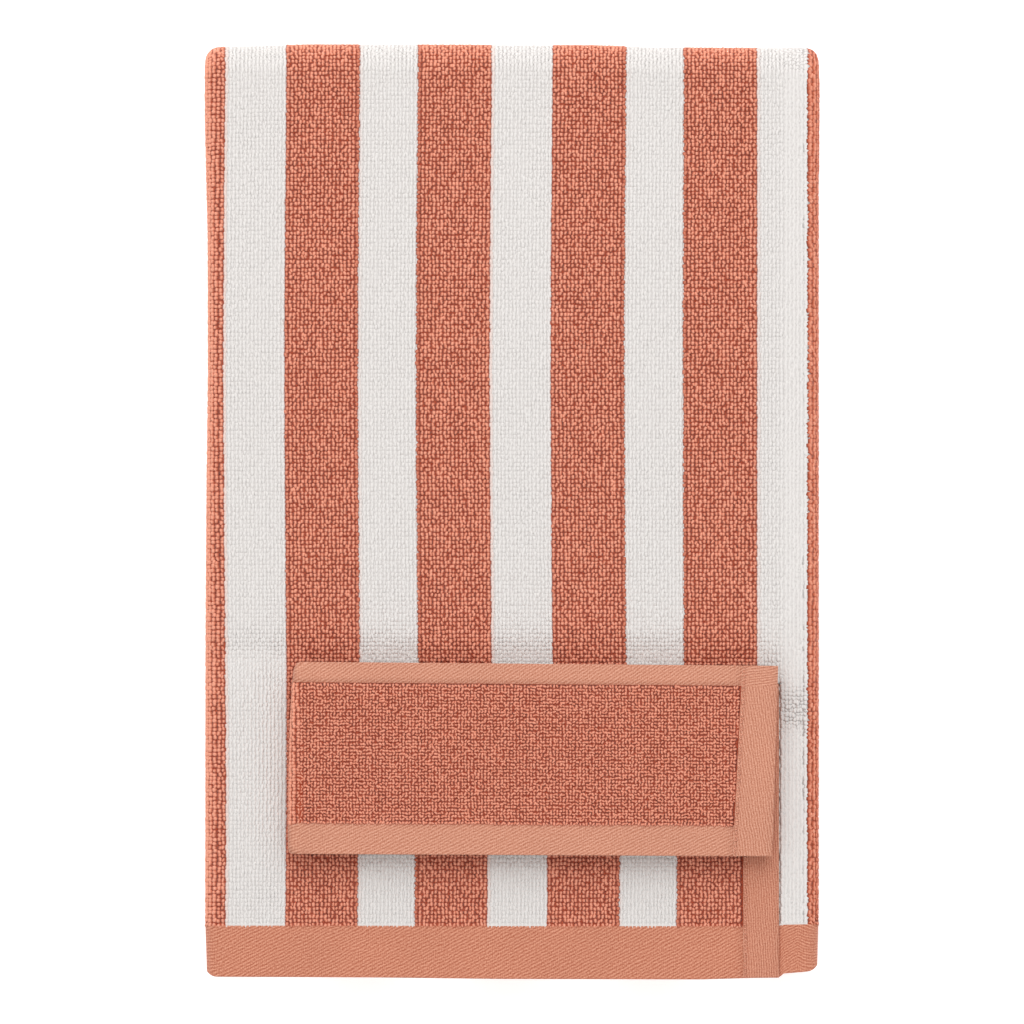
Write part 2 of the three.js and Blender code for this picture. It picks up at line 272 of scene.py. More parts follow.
def section(row):
    """The runs of one ply across a row, from the front ply's free edge round both folds to the inner edge.

    Each run has x, h, the way the striped side faces, half the thickness, and its place across the flat
    cloth. Neighbouring runs share their end point, which belongs to the first of them.
    """
    y = row["outline_y"]
    left_bend = LEFT_BEND - np.interp(y, *LEFT_EDGE) + row["inset"]
    right_bend = RIGHT_BEND + np.interp(y, *RIGHT_EDGE) - row["inset"]
    lift = row["lift"]
    spacing = FRONT_SPACING if row["grain"] == "front" else HIDDEN_SPACING
    under = BACK_SPACING if row["grain"] == "back" else UNDER_SPACING
    draw = STRIPE_DRAW * smooth((FLAP_TOP_Y - y) / FLAP_LENGTH) if row["panel"] == "front" else 0
    runs = []

    def add(*values):
        shape = np.broadcast(*values).shape
        runs.append([np.broadcast_to(np.asarray(value, float), shape).copy() for value in values])

    far, length, begin = STRIPE_WANDER
    wander = far * math.sin(y / length + begin)
    hem_x = FRONT_EDGE_X - SIDE_HEM

    def on_front(x):
        away = FRONT_EDGE_X - SIDE_HEM - x
        return x + draw * (x - CORAL_START) + wander * smooth(away / WANDER_FADE)

    edge_x = DIP_HIGH_X if row["closed"] else FRONT_EDGE_X
    x = np.concatenate([hem_columns(edge_x, hem_x), [hem_x - SEAM_WIDE, hem_x - PILE_STEP]])
    hem = np.concatenate([HEM_HALVES, [HALF_GROUND - SEAM_DEEP, HALF_GROUND]])
    sink = 0.0 if row["closed"] else FREE_EDGE_SINK * smooth((x - hem_x) / SIDE_HEM)
    add(x, PITCH - sink, 0, 1, HALF_GROUND if row["closed"] else hem, on_front(x))
    x = steps(hem_x - PILE_STEP, left_bend, spacing)
    add(x, PITCH, 0, 1, HALF_GROUND, on_front(x))
    turn = np.linspace(0, math.pi, SIDE_FOLD_STEPS + 1)
    start = on_front(left_bend) - SIDE_FOLD_ARC
    sin, cos = np.sin(turn), np.cos(turn)
    add(left_bend - PITCH * sin, PITCH * cos, -sin, cos, HALF_GROUND, start + PITCH * (math.pi - turn))
    x = steps(left_bend, right_bend, under)
    column = right_bend + RIGHT_CORAL_SHIFT - BACK_REPEATS * STRIPE_REPEAT
    end = column + SIDE_FOLD_ARC
    laid = HALF_PILE if row["panel"] == "back" else HALF_GROUND
    add(x, -PITCH, 0, -1, laid, np.interp(x, [left_bend, right_bend], [start, end]))
    middle, rise = (lift - PITCH) / 2, (lift + PITCH) / 2
    add(right_bend + PITCH * sin, middle - rise * cos, sin, -cos, HALF_GROUND, end - PITCH * turn)
    x = np.linspace(right_bend, DIP_HIGH_X, COLUMN_STEPS)
    shift = column - right_bend
    add(x, lift, 0, 1, HALF_GROUND, x + shift)
    x = np.linspace(DIP_HIGH_X, DIP_LOW_X, DIP_STEPS)
    add(x, lift * smooth((x - DIP_LOW_X) / (DIP_HIGH_X - DIP_LOW_X)), 0, 1, HALF_GROUND, x + shift)
    hem_x = INNER_EDGE_X + SIDE_HEM
    x = np.concatenate([steps(DIP_LOW_X, hem_x + PILE_STEP, INNER_SPACING), [hem_x, INNER_EDGE_X]])
    add(x, 0, 0, 1, half_thick(x - INNER_EDGE_X, SIDE_HEM), x + shift)
    return runs


FREE_EDGE_RUN, FRONT_RUN, LEFT_FOLD_RUN, BACK_RUN, RIGHT_FOLD_RUN, COLUMN_RUN, DIP_RUN, INNER_RUN = range(8)


# The long way


def lay_legs():
    """The panels and folds of the long way: each one's name, start and end along the cloth."""
    legs = []
    at = FRONT_END_Y
    for panel, length in (
        ("front", TOP_FOLD_Y - FRONT_END_Y),
        ("top", FOLD_ARC),
        ("middle", TOP_FOLD_Y - BOTTOM_FOLD_Y),
        ("bottom", FOLD_ARC),
        ("back", LAST_PANEL_END_Y - BOTTOM_FOLD_Y),
    ):
        legs.append((panel, at, at + length))
        at += length
    return legs


LEGS = lay_legs()
LEG_START = {panel: start for panel, start, end in LEGS}


def row_at(along, grain="front"):
    """The row at a distance along the cloth, which places the bundle's middle line there."""
    panel, start, _ = next((leg for leg in LEGS if along <= leg[2] + SLIGHT), LEGS[-1])
    gone = along - start
    turn = math.pi * gone / FOLD_ARC if panel in ("top", "bottom") else 0.0
    y = {"front": along, "middle": TOP_FOLD_Y - gone, "back": BOTTOM_FOLD_Y + gone}.get(panel, 0.0)
    if panel == "front":
        closed, lift_y = y >= OPEN_TOP_Y, y
    elif panel == "middle":
        closed, lift_y = y >= JOINED_END_Y, y - JOINED_END_Y + OPEN_TOP_Y - LIFT_FADE
    else:
        closed, lift_y = panel == "top", 0.0 if panel == "top" else -FAR
    return {
        "panel": panel,
        "grain": grain,
        "along": along,
        "y": y,
        "turn": turn,
        "closed": bool(closed),
        "inset": LOWER_INSET * {"front": 0.0, "top": turn / math.pi}.get(panel, 1.0),
        "lift": mix(SIDE_LIFT, PITCH, smooth((lift_y - OPEN_TOP_Y + LIFT_FADE) / LIFT_FADE)),
        "outline_y": {"top": TOP_FOLD_Y, "bottom": BOTTOM_FOLD_Y}.get(panel, y),
        "from_end": {"front": y - FRONT_END_Y, "back": LAST_PANEL_END_Y - y}.get(panel, FAR),
    }


def cloth_rows():
    hem_y = FRONT_END_Y + END_HEM
    rows = [row_at(y) for y in np.concatenate([
        [FRONT_END_Y],
        steps(FRONT_END_Y + EDGE_ROUND, hem_y, FRONT_SPACING),
        steps(hem_y + PILE_STEP, OPEN_TOP_Y - PILE_STEP, FRONT_SPACING),
        steps(OPEN_TOP_Y, TOP_FOLD_Y, FRONT_SPACING),
    ])]
    fold = np.linspace(0, FOLD_ARC, END_FOLD_STEPS + 1)[1:-1]
    rows += [row_at(LEG_START["top"] + gone) for gone in fold]
    joined = LEG_START["middle"] + TOP_FOLD_Y - JOINED_END_Y
    rows.append(row_at(LEG_START["middle"] + JUST_PAST, "middle"))
    rows += [row_at(along, "middle") for along in steps(joined, LEG_START["bottom"], HIDDEN_SPACING)]
    rows += [row_at(LEG_START["bottom"] + gone, "back") for gone in fold]
    hem = LEGS[-1][2] - END_HEM
    last = np.concatenate([
        steps(LEG_START["back"] + JUST_PAST, hem - PILE_STEP, BACK_SPACING),
        steps(hem, LEGS[-1][2], BACK_SPACING),
    ])
    return rows + [row_at(along, "back") for along in last]


def end_draw(x, from_end):
    """The round of the corners at the front end, and the shorter inner ply on the right."""
    inside = np.minimum(x - LEFT, RIGHT - x) - (HALF_PILE - HALF_HEM)
    off = np.clip(1 - inside / CORNER_ROUND, 0, 1)
    corner = CORNER_ROUND * (1 - np.sqrt(1 - off * off))
    past = np.maximum(x - FRONT_EDGE_X, 0)
    short = RIGHT_COLUMN_SHORT * smooth(past) + RIGHT_COLUMN_SLOPE * past
    return (corner + short + np.interp(x, *FRONT_END_EDGE)) * (1 - smooth(from_end / CORNER_FADE))


def place(row, x, h):
    """Points of the section, at heights h in their bundle, placed on a row of the folded length."""
    top = np.interp(x, *TOP_EDGE)
    pull = top * smooth((row["y"] - TOP_EDGE_FADE_Y) / (TOP_FOLD_Y - TOP_EDGE_FADE_Y))
    half, sin, cos = BUNDLE_PITCH / 2, math.sin(row["turn"]), math.cos(row["turn"])
    if row["panel"] == "top":
        y = TOP_FOLD_Y + top + FOLD_SQUASH * (half + h) * sin
        z = LEVEL["middle"] + half + (half + h) * cos
    elif row["panel"] == "bottom":
        y = BOTTOM_FOLD_Y - FOLD_SQUASH * (half - h) * sin
        z = LEVEL["back"] + half + (half - h) * cos
    elif row["panel"] == "front":
        y = row["y"] + pull + end_draw(x, row["y"] - FRONT_END_Y)
        z = LEVEL["front"] + h + swell(x, row["y"])
    elif row["panel"] == "middle":
        y = row["y"] + pull
        z = LEVEL["middle"] - h
    else:
        y = row["y"] + 0 * x
        z = LEVEL["back"] + h
    return np.stack([x, y + 0 * x, z + 0 * x], axis=-1)


class Cloth:
    """A closed mesh being made: points, their place on the flat cloth, and faces with a material zone."""

    def __init__(self):
        self.count = 0
        self.points, self.flat, self.seats = [], [], []
        self.faces, self.zones, self.inside = [], [], []

    def add(self, points, flat):
        first = self.count
        self.points.append(points)
        self.flat.append(flat)
        self.count += len(points)
        return np.arange(first, self.count)

    def run_on(self, runs, points, flat):
        """Adds a run of points, which starts with the last point of the run before it."""
        if runs:
            runs.append(np.concatenate([runs[-1][-1:], self.add(points[1:], flat[1:])]))
        else:
            runs.append(self.add(points, flat))

    def seat(self, point, on):
        """Puts one point exactly where another is. Both keep their own place on the flat cloth."""
        self.seats.append((point, on))

    def face(self, corners, zone, inside=False):
        self.faces.append(tuple(int(c) for c in corners))
        self.zones.append(zone)
        self.inside.append(inside)

    def strip(self, a, b, zone, inside=False):
        """Joins two lines of points, a and b, that may hold different numbers of points."""
        zone_of = zone if callable(zone) else (lambda i: zone)
        i = j = 0
        last_a, last_b = len(a) - 1, len(b) - 1
        while i < last_a or j < last_b:
            step_a = (i + 1) / last_a if i < last_a else FAR
            step_b = (j + 1) / last_b if j < last_b else FAR
            next_i, next_j = i + (step_a <= step_b + SLIGHT), j + (step_b <= step_a + SLIGHT)
            corners = list(dict.fromkeys((a[i], a[next_i], b[next_j], b[j])))
            self.face(corners[::-1] if inside else corners, zone_of(min(i, last_a - 1)), inside)
            i, j = next_i, next_j

    def build(self, name, materials):
        points = np.concatenate(self.points) * MM
        flat = np.concatenate(self.flat) * MM
        for point, on in self.seats:
            points[point] = points[on]
        mesh = bpy.data.meshes.new(name)
        mesh.from_pydata(points.tolist(), [], self.faces)
        for material in materials:
            mesh.materials.append(material)
        mesh.polygons.foreach_set("material_index", np.array(self.zones, np.int32))
        mesh.polygons.foreach_set("use_smooth", np.ones(len(self.faces), bool))
        inside = np.repeat(self.inside, [len(face) for face in self.faces])
        places = flat[np.concatenate(self.faces)]
        add_map(mesh, "Cloth", places)
        u, v = ((places - flat.min(axis=0)) / np.ptp(flat, axis=0)).T
        u = np.where(inside, mix(*SPREAD_INSIDE, u), mix(*SPREAD_OUTSIDE, u))
        add_map(mesh, SPREAD_MAP, np.stack([u, mix(*SPREAD_ALONG, v)], axis=-1))
        return link(name, close_seams(mesh))


# The map that lays every face out beside the others, and where the cloth's two sides lie on it
SPREAD_MAP = "OFBake"
SPREAD_OUTSIDE = (0.01, 0.7)
SPREAD_INSIDE = (0.72, 0.99)
SPREAD_ALONG = (0.01, 0.99)


def add_map(mesh, name, places):
    layer = mesh.uv_layers.new(name=name)
    layer.data.foreach_set("uv", places.astype(np.float32).ravel())


def close_seams(mesh):
    """Merges points that lie on each other, drops those no face uses and turns every face outwards."""
    shell = bmesh.new()
    shell.from_mesh(mesh)
    bmesh.ops.remove_doubles(shell, verts=shell.verts, dist=MERGE_METRES)
    bmesh.ops.delete(shell, geom=[v for v in shell.verts if not v.link_faces], context="VERTS")
    bmesh.ops.recalc_face_normals(shell, faces=shell.faces)
    shell.to_mesh(mesh)
    shell.free()
    mesh.update()
    return mesh


def link(name, mesh):
    piece = bpy.data.objects.new(name, mesh)
    bpy.context.scene.collection.objects.link(piece)
    return piece


PILE, END_TWILL, SIDE_RIB, PLAIN, COLUMN_TWILL = range(5)
CORNER_CELL, TOP_BAND = COLUMN_TWILL, COLUMN_TWILL + 1


def fold_cloth():
    """The whole towel as one closed mesh."""
    cloth = Cloth()
    rows = cloth_rows()
    faces_of, backs_of = [], []
    for row in rows:
        end_half = half_thick(row["from_end"], END_HEM)
        face_ids, back_ids = [], []
        for k, (x, h, nx, nh, half, across) in enumerate(section(row)):
            half = half + (end_half - HALF_GROUND) * (half == HALF_GROUND)
            flat = np.stack([across, np.full(len(x), row["along"])], axis=-1)
            cloth.run_on(face_ids, place(row, x + nx * half, h + nh * half), flat)
            if k in (LEFT_FOLD_RUN, RIGHT_FOLD_RUN):
                coarse = np.arange(len(x))
            elif k == FREE_EDGE_RUN:
                coarse = np.array([0, HEM_POINTS - 1, len(x) - 1])
            else:
                picked = np.linspace(0, len(x) - 1, min(len(x), LINING_POINTS))
                coarse = np.unique(picked.round().astype(int))
            points = place(row, (x - nx * half)[coarse], (h - nh * half)[coarse])
            cloth.run_on(back_ids, points, flat[coarse])
        if row["closed"]:
            cloth.seat(face_ids[FREE_EDGE_RUN][0], face_ids[DIP_RUN][0])
            cloth.seat(back_ids[FREE_EDGE_RUN][0], face_ids[DIP_RUN][-1])
        faces_of.append(face_ids)
        backs_of.append(back_ids)

    for j in range(len(rows) - 1):
        low, high = rows[j], rows[j + 1]
        in_hem = min(low["from_end"], high["from_end"]) < END_HEM - NEARLY
        closed = low["closed"] and high["closed"]
        part_closed = low["closed"] or high["closed"]
        for k in range(len(faces_of[j])):
            face_zone = END_TWILL if in_hem else PILE
            if in_hem and low["panel"] == "front" and k in (RIGHT_FOLD_RUN, COLUMN_RUN, DIP_RUN):
                face_zone = COLUMN_TWILL
            back_zone = END_TWILL if in_hem else PLAIN
            if k == FREE_EDGE_RUN and not part_closed:
                face_zone = lambda i, rest=face_zone: SIDE_RIB if i < HEM_POINTS - 1 else rest
                back_zone = lambda i, rest=back_zone: SIDE_RIB if i < 1 else rest
            if not (closed and k == DIP_RUN):
                cloth.strip(faces_of[j][k], faces_of[j + 1][k], face_zone)
            cloth.strip(backs_of[j][k], backs_of[j + 1][k], back_zone, inside=True)
        edges = [(faces_of, backs_of, -1)]
        if not closed:
            edges.append((backs_of, faces_of, 0))
        for one, other, end in edges:
            corners = (one[j], other[j], other[j + 1], one[j + 1])
            cloth.face([runs[end][end] for runs in corners], SIDE_RIB)
    for end in (0, -1):
        for face_ids, back_ids in zip(faces_of[end], backs_of[end]):
            cloth.strip(face_ids, back_ids, END_TWILL)
    closed = [j for j, row in enumerate(rows) if row["closed"]]
    for j in (closed[0], closed[-1]):
        cloth.face(faces_of[j][DIP_RUN], PILE)
    return cloth


# The strip on the front


def strip_bend(down):
    """Where the fold at the strip's left edge begins to turn."""
    left = mix(*FLAP_LEFT_X, 1 - math.exp(-FLAP_LEFT_BEND * down / FLAP_LENGTH))
    for corner, away in zip(FLAP_CORNERS, (down, FLAP_LENGTH - down)):
        near = np.clip(1 - away / corner, 0, 1)
        left += corner * (1 - math.sqrt(1 - near**2))
    return left + FLAP_RADIUS + HALF_PILE


def strip_seam_x(down):
    """Where the seam of the strip's side hem runs."""
    share = down / FLAP_LENGTH
    return mix(*FLAP_RIGHT_X, share) - SIDE_HEM - FLAP_HEM_WIDER * share


def strip_section(down):
    """One line across the strip, from its right edge over the fold at the left and back under."""
    bend = strip_bend(down)
    hem_x = strip_seam_x(down)
    right = mix(*FLAP_RIGHT_X, down / FLAP_LENGTH)
    pile = np.linspace(hem_x - PILE_STEP, bend, FLAP_COLUMNS)
    upper = np.concatenate([hem_columns(right, hem_x), [hem_x - SEAM_WIDE], pile])
    under = right - FLAP_UNDER_SHORT
    pile = np.linspace(bend, under - SIDE_HEM - PILE_STEP, FLAP_UNDER_COLUMNS)
    lower = np.concatenate([pile, [under - SIDE_HEM, under]])
    turn = np.linspace(0, math.pi, SIDE_FOLD_STEPS + 1)[1:-1]
    sin, cos = np.sin(turn), np.cos(turn)

    def joined(on_upper, on_fold, on_lower):
        return np.concatenate([0 * upper + on_upper, 0 * turn + on_fold, 0 * lower + on_lower])

    x = joined(upper, bend - FLAP_RADIUS * sin, lower)
    h = joined(FLAP_RADIUS, FLAP_RADIUS * cos, -FLAP_RADIUS)
    h[:len(upper)] -= FLAP_DROOP * smooth((upper - hem_x + FLAP_DROOP_START) / FLAP_DROOP_FADE)
    nx = joined(0, -sin, 0)
    nh = joined(1, cos, -1)
    across = joined(upper, bend - FLAP_RADIUS * turn, 2 * bend - FLAP_RADIUS * math.pi - lower)
    end_half = max(half_thick(down, FLAP_TOP_HEM), half_thick(FLAP_LENGTH - down, FLAP_BOTTOM_HEM))
    half = np.maximum(half_thick(joined(right - upper, FAR, under - lower), SIDE_HEM), end_half)
    if abs(down - FLAP_TOP_HEM - SEAM_WIDE) < NEARLY:
        half[:] = HALF_GROUND - SEAM_DEEP
    half[:HEM_POINTS] = HEM_HALVES
    half[HEM_POINTS] = HALF_GROUND - SEAM_DEEP
    return x, h, nx, nh, half, across


def strip_place(down, x, h):
    """Points of the strip's section, at heights h in its two plies, placed on the front."""
    y = FLAP_TOP_Y - down
    share = np.clip((x - FLAP_LEFT_X[0]) / (FLAP_RIGHT_X[0] - FLAP_LEFT_X[0]), 0, 1)
    slope = mix(*FLAP_SLOPE, down / FLAP_LENGTH) * share
    depth, crease_x, wide, top, fade = FLAP_CREASE
    crease = depth * bell(x - crease_x, wide) * smooth((top - y) / fade)
    return np.stack([x, y - slope, FLAP_MIDDLE + h + FLAP_SWELL * swell(x, y) - crease], axis=-1)


def fold_strip():
    """The turned-out strip as one closed mesh."""
    cloth = Cloth()
    bottom_hem = FLAP_LENGTH - FLAP_BOTTOM_HEM
    downs = np.concatenate([
        [0],
        np.linspace(EDGE_ROUND, FLAP_TOP_HEM, FLAP_TOP_HEM_ROWS),
        [FLAP_TOP_HEM + SEAM_WIDE],
        steps(FLAP_TOP_HEM + PILE_STEP, bottom_hem - PILE_STEP, FRONT_SPACING),
        np.linspace(bottom_hem, FLAP_LENGTH - EDGE_ROUND, FLAP_BOTTOM_HEM_ROWS),
        [FLAP_LENGTH],
    ])
    faces_of, backs_of = [], []
    for down in downs:
        x, h, nx, nh, half, across = strip_section(down)
        flat = np.stack([across, np.full(len(x), FLAP_TOP_Y - down)], axis=-1)
        faces_of.append(cloth.add(strip_place(down, x + nx * half, h + nh * half), flat))
        backs_of.append(cloth.add(strip_place(down, x - nx * half, h - nh * half), flat))
    for j in range(len(downs) - 1):
        middle = (downs[j] + downs[j + 1]) / 2
        in_top, in_bottom = middle < FLAP_TOP_HEM, middle > bottom_hem
        under_hem = len(faces_of[j]) - 2

        def zone(i):
            if i < HEM_POINTS - 1 or i >= under_hem:
                return CORNER_CELL if in_top else SIDE_RIB
            if in_top:
                return TOP_BAND
            return END_TWILL if in_bottom else PLAIN

        cloth.strip(faces_of[j], faces_of[j + 1], zone)
        cloth.strip(backs_of[j], backs_of[j + 1], zone, inside=True)
        corners = (backs_of[j], faces_of[j], faces_of[j + 1], backs_of[j + 1])
        for end in (0, -1):
            cloth.face([line[end] for line in corners], SIDE_RIB)
    for end in (0, -1):
        cloth.strip(faces_of[end], backs_of[end], END_TWILL)
    return cloth


# The loops of the pile

# One loop seen from above: corners of its foot, as shares across and along, then the two ends of its ridge
LOOP_FOOT = [(0, -0.5), (0.5, -0.24), (0.5, 0.24), (0, 0.5), (-0.5, 0.24), (-0.5, -0.24)]
LOOP_RIDGE = [(0, -0.22), (0, 0.22)]
LOOP_FACES = [(1, 2, 7, 6), (2, 3, 7), (3, 4, 7), (4, 5, 6, 7), (5, 0, 6), (0, 1, 6), (5, 4, 3, 2, 1, 0)]
LOOP_SHAPE = np.array(LOOP_FOOT + LOOP_RIDGE)
LOOP_HIGH = np.repeat([0.0, 1.0], [len(LOOP_FOOT), len(LOOP_RIDGE)])

# Where a loop's foot and the rest of it lie in its cell of the spread map: size, then the lower left corner
CELL_FOOT = ((0.22, 0.9), (0.75, 0.05))
CELL_REST = ((0.64, 0.9), (0.05, 0.05))

# A spot is a place on the cloth where a loop stands: the point, the way up, the way across, and the flat
# place. The way across is as long as a millimetre of the cloth becomes there, which is more round a fold.


def gather(spots):
    """Joins groups of spots. Each way up becomes a millimetre long, and square to the way across."""
    at, up, side, flat = joined_runs(spots)
    up = up / np.linalg.norm(up, axis=1, keepdims=True)
    side = side - up * (side * up).sum(axis=1, keepdims=True)
    return at, up, side, flat


def spots_on(put, columns, curve, spots, along, apart=LOOP_ACROSS):
    """Adds spots where columns cross a curve of the cloth. put places points of the section."""
    *shape, across = (values[::-1] for values in curve)

    def lifted(at, by):
        x, h, nx, nh, half = (np.interp(at, across, values) for values in shape)
        return put(x + nx * (half + by), h + nh * (half + by))

    at = columns + DRAWS.uniform(-LOOP_DRIFT, LOOP_DRIFT, len(columns)) * apart
    base = lifted(at, 0)
    reach = apart / 3
    side = (lifted(at + reach, 0) - lifted(at - reach, 0)) / (2 * reach)
    spots.append((base, lifted(at, 1) - base, side, np.stack([at, np.full(len(at), along)], axis=-1)))


# Which runs of the section show in each panel and fold
WHOLE_FACE = ((FREE_EDGE_RUN, LEFT_FOLD_RUN), (RIGHT_FOLD_RUN, COLUMN_RUN))
SIDE_FOLDS = ((LEFT_FOLD_RUN, LEFT_FOLD_RUN), (RIGHT_FOLD_RUN, RIGHT_FOLD_RUN))
SHOWN_RUNS = {
    "front": WHOLE_FACE,
    "top": WHOLE_FACE,
    "middle": SIDE_FOLDS,
    "bottom": ((LEFT_FOLD_RUN, RIGHT_FOLD_RUN),),
    "back": SIDE_FOLDS,
}


def columns_between(low, high, apart=LOOP_ACROSS):
    first = math.ceil(low / apart + COLUMN_CLEAR)
    last = math.floor(high / apart - COLUMN_CLEAR)
    return np.arange(first, last + 1) * apart


def joined_runs(runs):
    return [np.concatenate(values) for values in zip(*runs)]


def towel_spots():
    """Spots for the loops on the towel's front, and for those on its folds."""
    front, folds = [], []
    first_row, last_row = FRONT_END_Y + END_HEM + ROW_CLEAR, LEGS[-1][2] - END_HEM - ROW_CLEAR
    for along in np.arange(first_row, last_row, LOOP_ALONG):
        row = row_at(along)
        runs = section(row)
        under_strip = FLAP_BOTTOM_Y + UNDER_TOP < row["y"] < FLAP_TOP_Y - UNDER_TOP
        for first, last in SHOWN_RUNS[row["panel"]]:
            if first == FREE_EDGE_RUN and not row["closed"]:
                first = FRONT_RUN
            if last == COLUMN_RUN and not row["closed"]:
                last = DIP_RUN
            curve = joined_runs(runs[first:last + 1])
            columns = columns_between(curve[-1][-1], curve[-1][0])
            if last == DIP_RUN:
                x = np.interp(columns, curve[-1][::-1], curve[0][::-1])
                columns = columns[x > FRONT_EDGE_X - LOOP_ACROSS / 2]
            if row["panel"] == "front" and under_strip:
                past_left = columns > FLAP_LEFT_X[0] + UNDER_LEFT
                columns = columns[~(past_left & (columns < FLAP_RIGHT_X[1] - UNDER_RIGHT))]
            spots = front if row["panel"] == "front" else folds
            spots_on(partial(place, row), columns, curve, spots, along)
    return gather(front), gather(folds)


def strip_spots():
    """Spots for the loops on the turned-out strip."""
    spots = []
    first, last = FLAP_TOP_HEM + STRIP_FIRST_ROW, FLAP_LENGTH - FLAP_BOTTOM_HEM + STRIP_LAST_ROW
    for down in np.arange(first, last, STRIP_LOOP_APART):
        round_fold = strip_bend(down) - FLAP_RADIUS * math.pi * STRIP_FOLD_SHARE
        columns = columns_between(round_fold, strip_seam_x(down), STRIP_LOOP_APART)
        curve = strip_section(down)
        spots_on(partial(strip_place, down), columns, curve, spots, FLAP_TOP_Y - down, STRIP_LOOP_APART)
    return gather(spots)


def seam_spots():
    """Spots for the stitches that hold the side hems: the towel's own, and the strip's."""
    towel, strip = [], []
    for y in np.arange(FRONT_END_Y + STITCH_GAP / 2, FLAP_BOTTOM_Y + STITCH_GAP, STITCH_GAP):
        row = row_at(y)
        curve = joined_runs(section(row)[:FRONT_RUN + 1])
        seam_x = FRONT_EDGE_X - SIDE_HEM + STITCH_INSET
        at = np.interp([seam_x], curve[0][::-1], curve[-1][::-1])
        spots_on(partial(place, row), at, curve, towel, y)
    for down in np.arange(STITCH_GAP / 2, FLAP_LENGTH, STITCH_GAP):
        at = np.array([strip_seam_x(down) + STITCH_INSET])
        spots_on(partial(strip_place, down), at, strip_section(down), strip, FLAP_TOP_Y - down)
    return gather(towel), gather(strip)


def stripe_place(across):
    """How far inside a coral stripe a place across the cloth lies, below 0 in the white ones."""
    turn = np.mod(across - CORAL_START, STRIPE_REPEAT)
    return CORAL_STRIPE / 2 - np.abs(turn - CORAL_STRIPE / 2)


def shape_loops(spots, size, rise, turned, lean, aim):
    """The points of a loop at each spot, and its painted tone: painted light on the left folds, painted
    shade on the raised column.
    """
    at, up, side, _ = spots
    count = len(at)
    spread = np.linalg.norm(side, axis=1, keepdims=True)
    side = side / spread
    forth = np.cross(up, side)
    longer = DRAWS.uniform(*LOOP_LONGER, (count, 1))
    wider = DRAWS.uniform(*LOOP_WIDER, (count, 1)) * spread
    angle = aim + turned * DRAWS.uniform(-1, 1, (count, 1))
    tall = rise * DRAWS.uniform(*LOOP_TALLER, (count, 1))
    shove = lean * DRAWS.uniform(-1, 1, (count, 2))
    drift = LOOP_DRIFT * LOOP_ALONG * DRAWS.uniform(-1, 1, (count, 1))

    x = at[:, 0]
    calm = np.maximum(1 - np.clip(up[:, 2], 0, 1), COLUMN_CALM * smooth((x - FRONT_EDGE_X) / CALM_FADE))
    # Painted light and shade: loops turned sideways on the left folds are painted paler, as if lit from the
    # left, and those on the raised column are painted darker.
    round_side = 1 - np.hypot(up[:, 1], up[:, 2])
    painted_lighting = np.where(x < 0, LEFT_FOLD_PAINTED_LIGHT * round_side, COLUMN_PAINTED_SHADE * calm * (x > FRONT_EDGE_X))
    calm = calm[:, None]
    broader = 1 + CALM_WIDER * calm
    a = LOOP_SHAPE[:, 0] * size[0] * wider * broader
    b = LOOP_SHAPE[:, 1] * size[1] * longer * broader
    sin, cos = np.sin(angle), np.cos(angle)
    across = a * cos - b * sin + shove[:, :1] * LOOP_HIGH
    along = a * sin + b * cos + shove[:, 1:] * LOOP_HIGH + drift
    above = mix(-LOOP_ROOT, tall * (1 - CALM_FLATTER * calm), LOOP_HIGH)
    points = at[:, None] + sum(
        far[..., None] * way[:, None] for far, way in ((across, side), (along, forth), (above, up))
    )
    points[..., 2] = np.maximum(points[..., 2], FLOOR_CLEAR)
    return points, painted_lighting


def stand_loops(name, spots, material, size, rise, turned, lean, aim=0.0):
    """Joins one loop for each spot into a mesh."""
    points, painted_lighting = shape_loops(spots, size, rise, turned, lean, aim)
    count, per_loop = points.shape[:2]
    points = points.reshape(-1, 3) * MM
    corners = np.concatenate(LOOP_FACES)
    first = np.arange(count)[:, None]
    vertex = (corners + per_loop * first).ravel().astype(np.int32)
    total = np.tile([len(face) for face in LOOP_FACES], count).astype(np.int32)
    start = np.concatenate([[0], np.cumsum(total)[:-1]]).astype(np.int32)
    mesh = bpy.data.meshes.new(name)
    mesh.vertices.add(len(points))
    mesh.vertices.foreach_set("co", points.astype(np.float32).ravel())
    mesh.loops.add(len(vertex))
    mesh.loops.foreach_set("vertex_index", vertex)
    mesh.polygons.add(len(total))
    mesh.polygons.foreach_set("loop_start", start)
    mesh.polygons.foreach_set("use_smooth", total < len(LOOP_FOOT))
    mesh.update(calc_edges=True)
    mesh.materials.append(material)

    flat = spots[3]
    edge = 1 - np.abs(stripe_place(flat[:, 0])) / STRIPE_BLEND
    for label, values in (
        ("Rise", np.tile(LOOP_HIGH, count)),
        ("Tone", np.repeat(DRAWS.uniform(0, 1, count), per_loop)),
        ("Edge", np.repeat(np.clip(edge, 0, 1), per_loop)),
        ("PaintedLighting", np.repeat(painted_lighting, per_loop)),
    ):
        layer = mesh.attributes.new(label, "FLOAT", "POINT")
        layer.data.foreach_set("value", values.astype(np.float32))
    add_map(mesh, "Cloth", np.repeat(flat * MM, len(corners), axis=0))

    cells = math.ceil(math.sqrt(count))
    seen = (LOOP_SHAPE + 0.5)[corners]
    in_foot, in_rest = (seen * size + corner for size, corner in (CELL_FOOT, CELL_REST))
    foot = np.arange(len(corners)) >= len(corners) - len(LOOP_FOOT)
    cell = np.stack([first % cells, first // cells], axis=-1)
    add_map(mesh, SPREAD_MAP, (cell + np.where(foot[:, None], in_foot, in_rest)) / cells)
    return link(name, mesh)


# Materials


